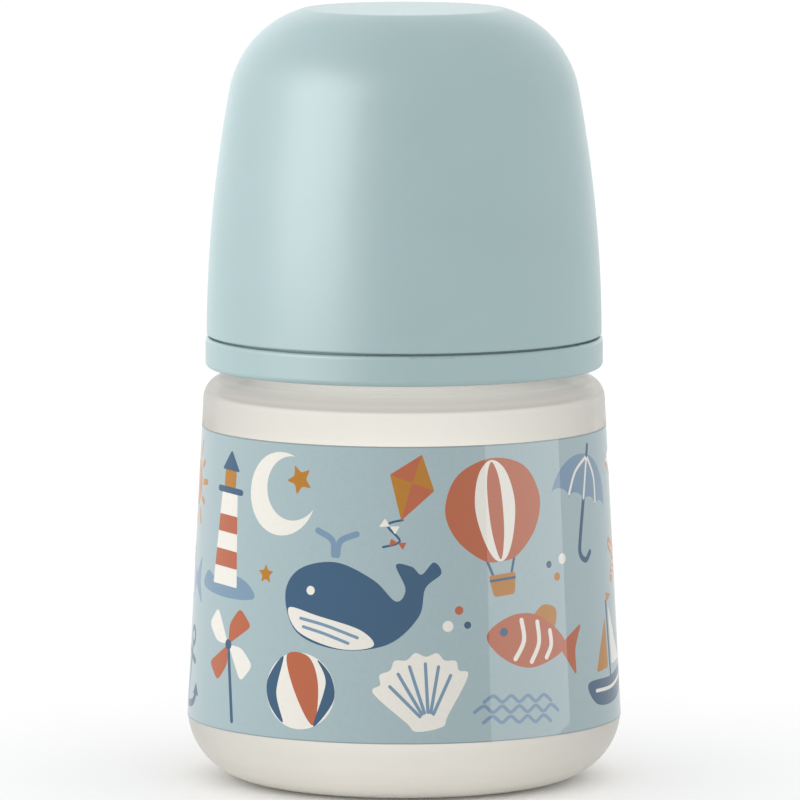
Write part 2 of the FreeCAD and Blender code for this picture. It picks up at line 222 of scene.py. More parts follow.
# Stops of height in millimetres with the outer skin's colour. The base is thicker than the wall, and its
# lighter colour there is painted light from the floor. The rounding of the shoulder is darker than the wall,
# which is painted shade under the collar, and its top lighter, which is painted light in the gap under the
# collar.
MILK = [
    (0, lin(226, 223, 214)), (4, lin(206, 203, 195)), (12, lin(202, 199, 192)),
    (58.6, lin(202, 199, 192)), (59.2, lin(182, 179, 172)), (60.2, lin(175, 172, 165)),
    (60.9, lin(188, 185, 178)), (61.5, lin(228, 223, 216)), (63, lin(204, 201, 194)),
    (76, lin(204, 201, 194)),
]
# Stops of height with how little the outer skin lets through.
OPACITY = [(0, 0.92), (5, 0.9), (14, 0.68), (59, 0.66), (59.6, 0.82), (61.2, 0.8), (62, 0.5), (76, 0.5)]
# Painted shade on the inner side of the outer skin, which shows at the edges of the wall and darkens them.
SKIN_INSIDE_SHADE = lin(80, 78, 74)
# The bottle's inside, lighter than the outer skin as painted light from inside the bottle,
# with painted shade on the ceiling of the shoulder.
MILK_INSIDE = [
    (0, lin(245, 242, 234)), (58.45, lin(240, 238, 231)), (58.7, lin(85, 84, 81)),
    (59.6, lin(115, 113, 109)), (59.9, lin(180, 178, 172)), (61, lin(240, 238, 231)),
    (76, lin(240, 238, 231)),
]
INKS = {
    # A darker copy of the base ink: painted shade along the film's edge and on its sides.
    "edge": lin(124, 140, 142),
    "base": lin(146, 164, 168),
    "navy": lin(42, 77, 105),
    "coral": lin(163, 85, 52),
    "ochre": lin(162, 106, 10),
    "cream": lin(210, 207, 199),
    "blue": lin(105, 132, 154),
}


def dress(node, material):
    """Gives a CAD node's mesh one material in place of those it came with."""
    mesh = NODES[node].data
    mesh.materials.clear()
    mesh.materials.append(material)


# Meshes

def mesh_piece(name, vertices, faces, materials, body, smooth=True):
    """A new piece, in metres, with the body that it rides on."""
    mesh = bpy.data.meshes.new(name)
    mesh.from_pydata([tuple(v) for v in vertices], [], faces)
    mesh.validate()
    mesh.polygons.foreach_set("use_smooth", [smooth] * len(mesh.polygons))
    for material in materials:
        mesh.materials.append(material)
    piece = bpy.data.objects.new(name, mesh)
    scene.collection.objects.link(piece)
    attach(piece, body)
    return piece


def lathe(profile, count):
    """A closed profile of (radius, height) turned round the axis, as vertices and quads."""
    vertices, faces = [], []
    rows = len(profile)
    for step in range(count):
        angle = 2 * math.pi * step / count
        for radius, height in profile:
            vertices.append((radius * math.cos(angle) * MM, radius * math.sin(angle) * MM, height * MM))
    for step in range(count):
        here, there = step * rows, (step + 1) % count * rows
        for row in range(rows):
            after = (row + 1) % rows
            faces.append((here + row, there + row, there + after, here + after))
    return vertices, faces


# The drawing on the film: flat shapes in millimetres, each with its ink

BASE, NAVY, CORAL, OCHRE, CREAM, BLUE = "base", "navy", "coral", "ochre", "cream", "blue"


def arc(x, y, across, up, angles):
    """Points of an ellipse at the given degrees."""
    return [(x + across * math.cos(math.radians(a)), y + up * math.sin(math.radians(a))) for a in angles]


def spline(points, closed, steps):
    """Points along a smooth curve through the given ones."""
    count = len(points)
    spans = count if closed else count - 1
    out = []
    for i in range(spans):
        if closed:
            a, b, c, d = (points[(i + k) % count] for k in (-1, 0, 1, 2))
        else:
            a, b, c, d = (points[min(max(i + k, 0), count - 1)] for k in (-1, 0, 1, 2))
        for s in range(steps):
            t = s / steps
            out.append(tuple(
                0.5 * (2 * q + (r - p) * t + (2 * p - 5 * q + 4 * r - w) * t * t
                       + (3 * q - p - 3 * r + w) * t ** 3)
                for p, q, r, w in zip(a, b, c, d)))
    if not closed:
        out.append(points[-1])
    return out


def blob(*points, steps=7):
    """A closed smooth shape."""
    return spline(points, True, steps)


def disc(x, y, radius, count=36):
    angles = [2 * math.pi * i / count for i in range(count)]
    return [(x + radius * math.cos(a), y + radius * math.sin(a)) for a in angles]


def panel(*points, corner):
    """A polygon with its corners rounded."""
    steps, most = 4, 0.45
    out = []
    for i, (x, y) in enumerate(points):
        (ax, ay), (bx, by) = points[i - 1], points[(i + 1) % len(points)]
        la, lb = math.hypot(ax - x, ay - y), math.hypot(bx - x, by - y)
        cut = min(corner, la * most, lb * most)
        p = (x + (ax - x) / la * cut, y + (ay - y) / la * cut)
        q = (x + (bx - x) / lb * cut, y + (by - y) / lb * cut)
        for s in range(steps + 1):
            t = s / steps
            out.append(tuple((1 - t) ** 2 * m + 2 * t * (1 - t) * n + t * t * o
                             for m, n, o in zip(p, (x, y), q)))
    return out


def line(*points, width, steps=6):
    """A drawn line of even width with round ends."""
    tips = 5
    run = spline(points, False, steps) if len(points) > 2 else list(points)
    h = width / 2
    left, right = [], []
    for i, (x, y) in enumerate(run):
        (ax, ay), (bx, by) = run[max(i - 1, 0)], run[min(i + 1, len(run) - 1)]
        d = math.hypot(bx - ax, by - ay)
        nx, ny = -(by - ay) / d * h, (bx - ax) / d * h
        left.append((x + nx, y + ny))
        right.append((x - nx, y - ny))

    def tip(at, start):
        first = math.atan2(start[1] - at[1], start[0] - at[0])
        angles = [first - math.pi * k / tips for k in range(1, tips)]
        return [(at[0] + h * math.cos(a), at[1] + h * math.sin(a)) for a in angles]

    return left + tip(run[-1], left[-1]) + right[::-1] + tip(run[0], right[0])


def star(x, y, outer, inner, corner):
    """A star with five points, one of them up."""
    ring = []
    for i in range(10):
        r = inner if i % 2 else outer
        a = math.radians(90 + 36 * i)
        ring.append((x + r * math.cos(a), y + r * math.sin(a)))
    return panel(*ring, corner=corner)


def boat(main=NAVY, sail=CREAM, jib=CORAL):
    return [
        (main, line((0, -2.4), (0, 6.8), width=0.6)),
        (sail, panel((0.8, -1.4), (0.8, 6.3), (5.6, -1.4), corner=0.6)),
        (jib, panel((-0.8, -1.4), (-4.6, -1.4), (-0.8, 5.2), corner=0.6)),
        (OCHRE, panel((0.2, 8.0), (0.2, 6.7), (2.6, 7.3), corner=0.2)),
        (main, blob((-6.8, -2.3), (0, -2.6), (6.8, -2.3), (5.2, -5.2), (0, -6.0), (-5.2, -5.2))),
        (sail, line((-5.0, -3.6), (0, -4.0), (5.0, -3.6), width=0.45)),
    ]


def whale(main=NAVY):
    return [
        (main, blob((-7.6, 0.4), (-6.0, 3.4), (-1.6, 4.6), (2.8, 3.0), (5.4, 0.8), (6.4, 2.2), (5.2, 4.8),
                    (7.0, 4.7), (8.1, 3.9), (9.4, 5.3), (10.3, 4.1), (8.6, 2.4), (8.0, -0.8), (4.8, -4.0),
                    (-0.6, -5.0), (-5.8, -3.6))),
        (CREAM, blob((-7.0, -1.0), (-3.4, -1.5), (1.6, -2.6), (3.2, -4.3), (-0.6, -4.9), (-5.6, -3.5))),
        (BLUE, line((-5.4, -2.0), (-2.2, -2.5), (1.4, -3.5), width=0.35)),
        (BLUE, line((-5.0, -2.9), (-2.4, -3.4), (0.4, -4.2), width=0.35)),
        (CREAM, disc(-4.4, 1.2, 0.5)),
        (BLUE, line((-1.9, 5.4), (-2.2, 7.0), (-4.0, 7.9), width=0.7)),
        (BLUE, line((-1.5, 5.4), (-1.2, 7.0), (0.6, 7.9), width=0.7)),
    ]


def fish(main=CORAL, fin=OCHRE):
    return [
        (main, panel((4.2, 0), (8.2, 3.4), (7.3, 0), (8.2, -3.4), corner=0.9)),
        (fin, blob((-0.6, 2.2), (0.6, 4.6), (3.0, 4.4), (2.8, 1.8))),
        (main, blob((-6.6, -0.2), (-3.6, 2.8), (0.8, 3.2), (5.4, 0.3), (0.8, -3.0), (-3.6, -2.7))),
        (CREAM, line((-2.2, 2.4), (-1.4, 0), (-2.2, -2.4), width=0.6)),
        (CREAM, line((0.2, 2.5), (0.9, 0), (0.2, -2.4), width=0.6)),
        (CREAM, line((2.4, 1.7), (2.9, 0), (2.4, -1.6), width=0.6)),
        (NAVY, disc(-4.4, 0.6, 0.55)),
    ]


def lighthouse(main=CREAM, band=CORAL):
    def tower(low, high):
        wide, narrow = (2.7 - 0.085 * (y + 7.4) for y in (low, high))
        return panel((-wide, low), (wide, low), (narrow, high), (-narrow, high), corner=0.15)

    return [
        (BLUE, blob((-5.6, -8.2), (-4.4, -6.2), (-1.6, -6.9), (1.8, -5.9), (4.8, -6.6), (5.8, -8.3),
                    (0, -8.8))),
        (main, tower(-7.4, 3.8)),
        (band, tower(-5.2, -3.1)),
        (band, tower(-1.0, 1.1)),
        (NAVY, line((-2.5, 4.1), (2.5, 4.1), width=0.75)),
        (OCHRE, panel((-1.3, 4.5), (1.3, 4.5), (1.3, 6.5), (-1.3, 6.5), corner=0.2)),
        (NAVY, panel((-2.0, 6.5), (2.0, 6.5), (0, 9.0), corner=0.4)),
    ]


def sun(main=OCHRE):
    out = [(main, disc(0, 0, 3.3))]
    for i in range(12):
        a = math.radians(30 * i)
        far = 6.3 if i % 2 == 0 else 5.5
        c, s = math.cos(a), math.sin(a)
        out.append((main, line((4.4 * c, 4.4 * s), (far * c, far * s), width=0.85)))
    return out


def moon(main=CREAM):
    ring = arc(0, 0, 5.2, 5.2, range(42, 319, 9)) + arc(1.9, 0, 4.0, 4.0, range(298, 61, -9))
    return [(main, ring), (OCHRE, star(3.4, 0.6, 2.0, 0.9, corner=0.35))]


def kite(one=CORAL, two=OCHRE):
    tail = ((0.6, -5.2), (-1.6, -7.0), (1.4, -8.8), (-1.0, -10.8))
    return [
        (NAVY, line(*tail, width=0.4)),
        (one, panel((0, 1.4), (0, 6.6), (-4.2, 1.4), corner=0.06)),
        (two, panel((0, 1.4), (4.2, 1.4), (0, 6.6), corner=0.06)),
        (two, panel((0, 1.4), (-4.2, 1.4), (0.4, -5.4), corner=0.06)),
        (one, panel((0, 1.4), (0.4, -5.4), (4.2, 1.4), corner=0.06)),
        (CREAM, panel((-2.4, -6.0), (-1.1, -7.0), (-2.9, -7.8), corner=0.25)),
        (CREAM, panel((0.5, -6.4), (-1.1, -7.0), (0.2, -8.0), corner=0.25)),
        (one, panel((-0.2, -8.9), (1.2, -9.2), (-0.1, -10.3), corner=0.25)),
        (one, panel((2.6, -8.6), (1.2, -9.2), (2.4, -10.1), corner=0.25)),
    ]


def balloon(main=CORAL, stripe=CREAM):
    return [
        (NAVY, line((-2.0, -3.2), (-1.1, -6.0), width=0.3)),
        (NAVY, line((2.0, -3.2), (1.1, -6.0), width=0.3)),
        (main, blob((0, 7.0), (4.2, 5.6), (6.0, 2.0), (5.0, -1.4), (2.2, -4.0), (0, -4.4), (-2.2, -4.0),
                    (-5.0, -1.4), (-6.0, 2.0), (-4.2, 5.6))),
        (stripe, blob((0, 6.8), (1.7, 5.4), (2.5, 2.0), (1.9, -1.6), (0.7, -4.1), (-0.7, -4.1), (-1.9, -1.6),
                      (-2.5, 2.0), (-1.7, 5.4))),
        (main, blob((0, 6.6), (0.7, 5.0), (0.9, 2.0), (0.7, -1.6), (0, -4.2), (-0.7, -1.6), (-0.9, 2.0),
                    (-0.7, 5.0), steps=5)),
        (OCHRE, panel((-1.7, -5.8), (1.7, -5.8), (1.3, -8.2), (-1.3, -8.2), corner=0.4)),
        (NAVY, line((-1.5, -6.4), (1.5, -6.4), width=0.3)),
    ]


def umbrella(main=BLUE, rib=CREAM):
    ring = arc(0, 0.2, 6.6, 5.8, range(0, 181, 9))
    for i in range(4):
        for k in range(1, 8 if i < 3 else 7):
            a = math.radians(180 - 180 * k / 7)
            ring.append((-6.6 + 3.3 * (i + 0.5) + 1.65 * math.cos(a), 0.2 + 0.9 * math.sin(a)))
    return [
        (NAVY, line((0, 1.0), (0, -4.0), (0.3, -6.0), (1.7, -6.6), (2.6, -5.5), width=0.7)),
        (main, ring),
        (rib, line((0, 5.8), (-2.4, 3.6), (-3.3, 0.7), width=0.4)),
        (rib, line((0, 5.8), (2.4, 3.6), (3.3, 0.7), width=0.4)),
        (rib, line((0, 5.8), (0, 0.7), width=0.4)),
        (NAVY, line((0, 5.9), (0, 7.1), width=0.6)),
    ]


def scallop(main=CREAM, ridge=BLUE):
    ring = [(-1.5, -4.6), (-2.4, -3.4)]
    lobe = 25.7
    for i in range(7):
        a = math.radians(180 - lobe * (i + 0.5))
        x, y = 5.4 * math.cos(a), -0.4 + 4.6 * math.sin(a)
        ring.append((x * 1.06, y * 1.06))
        if i < 6:
            b = math.radians(180 - lobe * (i + 1))
            ring.append((5.1 * math.cos(b), -0.4 + 4.3 * math.sin(b)))
    ring += [(2.4, -3.4), (1.5, -4.6)]
    out = [(main, blob(*ring, steps=4))]
    for a in (150, 125, 103, 77, 55, 30):
        a = math.radians(a)
        out.append((ridge, line((0.9 * math.cos(a), -3.3 + 0.7 * math.sin(a)),
                                (4.1 * math.cos(a), -0.9 + 4.0 * math.sin(a)), width=0.38)))
    return out


def starfish(main=CORAL):
    ring = []
    for i in range(5):
        a = 90 + 72 * i
        for da, r in ((-11, 5.3), (0, 6.0), (11, 5.3), (36, 2.5)):
            b = math.radians(a + da)
            ring.append((r * math.cos(b), r * math.sin(b)))
    out = [(main, blob(*ring, steps=5)), (CREAM, disc(0, 0, 0.5, count=16))]
    for i in range(5):
        a = math.radians(90 + 72 * i)
        for r, size in ((1.8, 0.42), (3.1, 0.36), (4.3, 0.3)):
            out.append((CREAM, disc(r * math.cos(a), r * math.sin(a), size, count=14)))
    return out


def waves(main=BLUE):
    out = []
    for y, n in ((1.8, 4), (0, 5), (-1.8, 4)):
        run = []
        for i in range(2 * n + 1):
            run.append((-1.7 * n + 1.7 * i, y + (0.55 if i % 2 else -0.55)))
        out.append((main, line(*run, width=0.62, steps=5)))
    return out


def pail(main=OCHRE, band=CREAM):
    return [
        (NAVY, line((-3.4, 2.9), (-2.8, 5.6), (0, 6.9), (2.8, 5.6), (3.4, 2.9), width=0.5)),
        (main, panel((-3.9, 2.8), (3.9, 2.8), (2.9, -5.0), (-2.9, -5.0), corner=0.8)),
        (band, panel((-3.6, 0.9), (3.6, 0.9), (3.25, -1.9), (-3.25, -1.9), corner=0.1)),
        (main, star(0, -0.5, 1.2, 0.55, corner=0.2)),
        (NAVY, line((-4.0, 2.9), (4.0, 2.9), width=0.8)),
    ]


def pinwheel(one=CORAL, two=CREAM):
    vane = ((0, 0), (5.4, 0.3), (4.4, 3.4), (1.4, 2.4))
    out = [(NAVY, line((0, 1.5), (0, -8.4), width=0.6))]
    for i in range(4):
        a = math.radians(90 * i + 20)
        c, s = math.cos(a), math.sin(a)
        turned = [(c * x - s * y, s * x + c * y + 1.6) for x, y in vane]
        out.append((two if i % 2 else one, panel(*turned, corner=0.9)))
    return out + [(NAVY, disc(0, 1.6, 0.7, count=18))]


def ball(one=CORAL, two=NAVY):
    return [
        (CREAM, disc(0, 0, 4.6)),
        (one, blob((-0.4, 4.5), (2.4, 3.6), (2.6, 0), (0.6, -4.4), (-0.6, 0), steps=9)),
        (two, blob((0.6, -4.5), (3.9, -2.3), (4.5, 0.6), (3.4, 2.9), (3.6, 0), steps=9)),
        (two, blob((-0.9, 4.5), (-3.9, 2.4), (-4.5, -0.4), (-3.2, -3.1), (-3.1, 0.6), steps=9)),
    ]


def anchor(main=NAVY):
    return [
        (main, line((0, 3.4), (0, -5.0), width=1.1)),
        (main, line((-2.6, 1.9), (2.6, 1.9), width=1.0)),
        (main, line((-5.0, -1.9), (-3.9, -4.0), (0, -5.4), (3.9, -4.0), (5.0, -1.9), width=1.1)),
        (main, panel((-6.4, -2.0), (-4.6, -0.6), (-3.6, -2.7), corner=0.3)),
        (main, panel((6.4, -2.0), (3.6, -2.7), (4.6, -0.6), corner=0.3)),
        (main, disc(0, 4.8, 1.6, count=24)),
        (BASE, disc(0, 4.8, 0.75, count=16)),
    ]


def plane(main=CORAL, fold=CREAM):
    return [
        (fold, panel((7.0, 4.6), (-1.6, -0.7), (-1.9, -4.9), (0.9, -2.3), corner=0.3)),
        (main, panel((7.4, 4.8), (-7.4, 1.2), (-1.8, -0.9), corner=0.35)),
        (main, panel((7.4, 4.8), (0.5, -1.6), (4.2, -5.2), corner=0.35)),
    ]


def trio(one=CREAM, two=OCHRE, three=NAVY):
    spots = ((one, -1.3, -0.6, 0.75), (two, 0.6, 1.2, 0.6), (three, 1.4, -1.0, 0.5))
    return [(ink, disc(x, y, radius, count=18)) for ink, x, y, radius in spots]


def little_star(main=OCHRE):
    return [(main, star(0, 0, 2.1, 0.95, corner=0.4))]


# What is drawn, where its middle lies across and up the film in millimetres, its scale and its turn.
PRINT = [
    (kite(), -77.6, 32.6, 1.1, 14),
    (boat(), -61.5, 31.4, 1.2, -4),
    (pail(), -77.6, 9.4, 1.2, 6),
    (starfish(), -61.2, 11.0, 1.2, 14),
    (sun(), -47.4, 35.8, 1.1, 5),
    (fish(BLUE, NAVY), -50.0, 20.6, 1.15, 6),
    (anchor(), -45.8, 7.8, 1.05, -16),
    (lighthouse(), -32.0, 31.0, 1.25, -2),
    (pinwheel(), -30.2, 11.2, 1.15, 8),
    (moon(), -20.2, 36.6, 1.2, 24),
    (whale(), -8.6, 20.6, 1.35, -3),
    (ball(), -16.0, 7.4, 1.25, 18),
    (kite(), 0.8, 37.8, 0.86, -20),
    (balloon(), 14.6, 32.8, 1.36, 5),
    (scallop(), 2.6, 8.0, 1.28, 10),
    (fish(), 20.4, 14.4, 1.22, -12),
    (umbrella(), 33.0, 34.0, 1.25, -14),
    (waves(), 17.6, 4.6, 0.85, -3),
    (boat(NAVY, CREAM, OCHRE), 40.4, 10.2, 1.2, 4),
    (plane(), 51.4, 37.0, 1.1, -4),
    (starfish(OCHRE), 47.2, 24.8, 0.9, -10),
    (anchor(), 56.6, 8.6, 1.0, 12),
    (sun(), 65.6, 36.0, 1.05, 0),
    (whale(), 64.6, 17.8, 1.0, -8),
    (scallop(), 69.6, 6.4, 1.0, -12),
    (lighthouse(CREAM, OCHRE), 77.8, 32.8, 1.0, 4),
    (ball(OCHRE, BLUE), 79.8, 12.6, 1.0, -20),
    (trio(), -69.6, 20.6, 1.1, 0),
    (little_star(CREAM), -70.2, 41.0, 0.75, 0),
    (little_star(), -22.6, 24.4, 0.75, 0),
    (trio(CREAM, CORAL, NAVY), 7.8, 18.4, 1.1, 10),
    (trio(CREAM, OCHRE, NAVY), 25.8, 25.2, 1.1, 200),
    (little_star(), 57.4, 27.0, 0.75, 15),
]


# The printed film

# The film in millimetres: its thickness, its corners and the width of the line of painted shade that runs
# round its edge.
FILM_THICKNESS = 0.22
FILM_CORNER = 2.0
EDGE_SHADE_LINE = 0.18
# The meshes of the film and of its seat: how far apart their points are in millimetres, and their rows.
SHEET_STEP = 1.2
SHEET_ROWS = 12


def film_frame():
    """The CAD film's bottom and top, its radius at each, and half of its angle, in metres and radians."""
    points = np.array([v.co for v in NODES["printed_film"].data.vertices])
    radius = np.hypot(points[:, 0], points[:, 1])
    low, high = points[:, 2].min(), points[:, 2].max()
    edge = 1e-5
    at_low = radius[points[:, 2] < low + edge].max()
    at_high = radius[points[:, 2] > high - edge].max()
    half_turn = np.abs(np.arctan2(points[:, 0], -points[:, 1])).max()
    return low, high, at_low, at_high, half_turn


def rounded_sheet(width, height, corner):
    """Outline of the flat film from its lower right corner, with points along its sides."""
    steps = 8
    ring = []
    centres = ((width / 2 - corner, corner, -90), (width / 2 - corner, height - corner, 0),
               (corner - width / 2, height - corner, 90), (corner - width / 2, corner, 180))
    for x, y, start in centres:
        for k in range(steps + 1):
            angle = math.radians(start + 90 * k / steps)
            ring.append((x + corner * math.cos(angle), y + corner * math.sin(angle)))
    out = []
    for i, (x, y) in enumerate(ring):
        nx, ny = ring[(i + 1) % len(ring)]
        parts = max(1, round(math.hypot(nx - x, ny - y) / SHEET_STEP))
        out += [(x + (nx - x) * k / parts, y + (ny - y) * k / parts) for k in range(parts)]
    return out


def cut_flat(points, loops, tolerance):
    """Cuts a flat sheet along closed outlines, into triangles with the outlines that hold each."""
    inside_only = 1
    flat, _, triangles, _, _, owners = delaunay_2d_cdt(
        [Vector(p) for p in points], [], loops, inside_only, tolerance)
    turned = []
    for a, b, c in triangles:
        clockwise = (flat[b] - flat[a]).cross(flat[c] - flat[a]) < 0
        turned.append((a, c, b) if clockwise else (a, b, c))
    return flat, turned, owners


def open_edges(triangles):
    """The edges that no second triangle shares, in the order in which they come."""
    edges = {}
    for a, b, c in triangles:
        for edge in ((a, b), (b, c), (c, a)):
            if edge[::-1] in edges:
                del edges[edge[::-1]]
            else:
                edges[edge] = True
    return list(edges)


def make_film(materials):
    """The film as one closed sheet, cut along the drawing, so that each ink has its own faces."""
    low, high, at_low, at_high, half_turn = film_frame()
    middle = (at_low + at_high) / 2
    lean = math.atan2(at_low - at_high, high - low)
    width, height = 2 * half_turn * middle / MM, (high - low) / MM
    points, loops, inks = [], [], []

    def add(loop, ink):
        if sum(ax * by - bx * ay for (ax, ay), (bx, by) in zip(loop, loop[1:] + loop[:1])) < 0:
            loop = loop[::-1]
        loops.append(list(range(len(points), len(points) + len(loop))))
        points.extend(loop)
        inks.append(ink)

    # Painted shade runs round the film's edge, and inside it lies the base ink.
    add(rounded_sheet(width, height, FILM_CORNER), "edge")
    inner = rounded_sheet(width - 2 * EDGE_SHADE_LINE, height - 2 * EDGE_SHADE_LINE, FILM_CORNER - EDGE_SHADE_LINE)
    add([(x, y + EDGE_SHADE_LINE) for x, y in inner], "base")
    for shapes, across, up, size, turn in PRINT:
        c, s = math.cos(math.radians(turn)) * size, math.sin(math.radians(turn)) * size
        for ink, loop in shapes:
            add([(across + c * x - s * y, up + s * x + c * y) for x, y in loop], ink)
    columns = round(width / SHEET_STEP)
    for i in range(1, columns):
        for j in range(1, SHEET_ROWS):
            points.append(((i / columns - 0.5) * width, height * j / SHEET_ROWS))
    flat, triangles, owners = cut_flat(points, loops, tolerance=1e-5)

    def lift(u, v, depth):
        angle = u * MM / middle
        radius = at_low + (at_high - at_low) * v / height - depth
        return radius * math.sin(angle), -radius * math.cos(angle), low + v * MM

    def outward(u):
        angle = u * MM / middle
        return math.sin(angle) * math.cos(lean), -math.cos(angle) * math.cos(lean), math.sin(lean)

    count = len(flat)
    vertices = [lift(p.x, p.y, 0.0) for p in flat]
    vertices += [lift(p.x, p.y, FILM_THICKNESS * MM) for p in flat]
    normals = [outward(p.x) for p in flat]
    order = list(INKS)
    faces, ink_of, loop_normals = [], [], []
    for triangle, owner in zip(triangles, owners):
        faces.append(triangle)
        ink_of.append(order.index(inks[max(owner)]))
        loop_normals += [normals[i] for i in triangle]
    for a, b, c in triangles:
        faces.append((c + count, b + count, a + count))
        ink_of.append(order.index("cream"))
        loop_normals += [tuple(-k for k in normals[i]) for i in (c, b, a)]
    # The film's sides take the painted shade of its edge.
    for a, b in open_edges(triangles):
        faces.append((b, a, a + count, b + count))
        ink_of.append(order.index("edge"))
        side = (Vector(vertices[a]) - Vector(vertices[b])).cross(Vector(normals[a])).normalized()
        loop_normals += [tuple(-side)] * 4
    in_order = [materials[ink] for ink in order]
    film = mesh_piece("printed_film_sheet", vertices, faces, in_order, "bottle")
    film.data.polygons.foreach_set("material_index", ink_of)
    film.data.normals_split_custom_set(loop_normals)
    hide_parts("printed_film")
    return film


# The bottle

BOTTLE_WALL = 1.8
# Corners of the bottle's outside from the axis to the rim: radius, height and rounding in millimetres.
BOTTLE = [(0.0, 1.6, 0.0), (17.08, 1.6, 2.2), (19.48, 0.0, 2.2), (33.53, 0.0, 10.4),
          (30.32, 60.97, 3.45), (24.3, 61.7, 0.9), (24.3, 75.1, 0.35)]
RIM_INSIDE = [(22.5, 75.1, 0.35), (22.5, 74.0, 0.0)]
# The corner under the shoulder, which is sharper than the rounding outside it.
SHOULDER = 4
SHOULDER_INSIDE = (28.64, 58.65, 0.45)
# Steps of a rounding: the fewest, and how many to a radian.
LEAST_STEPS, RADIAN_STEPS = 4, 12
BOTTLE_COLUMNS = 240
# The outside is wall where its radius is over this, in millimetres.
WALL_OVER = 29.0
# The film's seat in millimetres: the room round the film, and how far the seat lies behind the film's face.
SEAT_GAP = 0.03
SEAT_DEPTH = 0.28
# How far the band of wall that holds the seat reaches below and above the film, in millimetres.
BAND_BELOW, BAND_ABOVE = 0.4, 0.6
# The bottle's materials in their order.
SKIN, LINING = 0, 1


def rounded_path(corners):
    """Points along straight sides whose corners are rounded."""
    path = []
    for i, (radius, height, rounding) in enumerate(corners):
        here = complex(radius, height)
        if not rounding:
            path.append((radius, height))
            continue
        back = complex(*corners[i - 1][:2]) - here
        ahead = complex(*corners[i + 1][:2]) - here
        back, ahead = back / abs(back), ahead / abs(ahead)
        half = abs(cmath.phase(ahead / back)) / 2
        centre = here + (back + ahead) / abs(back + ahead) * rounding / math.sin(half)
        first = here + back * rounding / math.tan(half) - centre
        last = here + ahead * rounding / math.tan(half) - centre
        turn = cmath.phase(last / first)
        steps = max(LEAST_STEPS, round(abs(turn) * RADIAN_STEPS))
        for k in range(steps + 1):
            point = centre + first * cmath.exp(1j * turn * k / steps)
            path.append((point.real, point.imag))
    return path


def inset(corners, wall):
    """The corners of the other face of a wall, which lies on the left of its path."""
    points = [complex(radius, height) for radius, height, _ in corners]
    sides = [(after - before) / abs(after - before) for before, after in zip(points, points[1:])]
    out = []
    for i, (point, (_, _, rounding)) in enumerate(zip(points, corners)):
        back, ahead = sides[max(i - 1, 0)], sides[min(i, len(sides) - 1)]
        bend = ahead * back.conjugate()
        point += 1j * wall * (back + ahead) / (1 + bend.real)
        if rounding:
            rounding += -wall if bend.imag > 0 else wall
        out.append((point.real, point.imag, rounding))
    return out


def bottle_inside():
    """The path of the bottle's inside, from the axis up to the rim."""
    corners = inset(BOTTLE, BOTTLE_WALL)
    corners[SHOULDER] = SHOULDER_INSIDE
    return rounded_path(corners[:-1] + RIM_INSIDE[-1:])


def weld(mesh):
    """Joins vertices that coincide, drops loose ones and turns the faces outwards."""
    work = bmesh.new()
    work.from_mesh(mesh)
    bmesh.ops.remove_doubles(work, verts=work.verts, dist=1e-6)
    bmesh.ops.delete(work, geom=[v for v in work.verts if not v.link_faces], context="VERTS")
    bmesh.ops.recalc_face_normals(work, faces=work.faces)
    work.to_mesh(mesh)
    work.free()


def around(angle, radius, height):
    """A point in metres. The angle starts at the front, -Y, and runs to +X."""
    return radius * math.sin(angle) * MM, -radius * math.cos(angle) * MM, height * MM


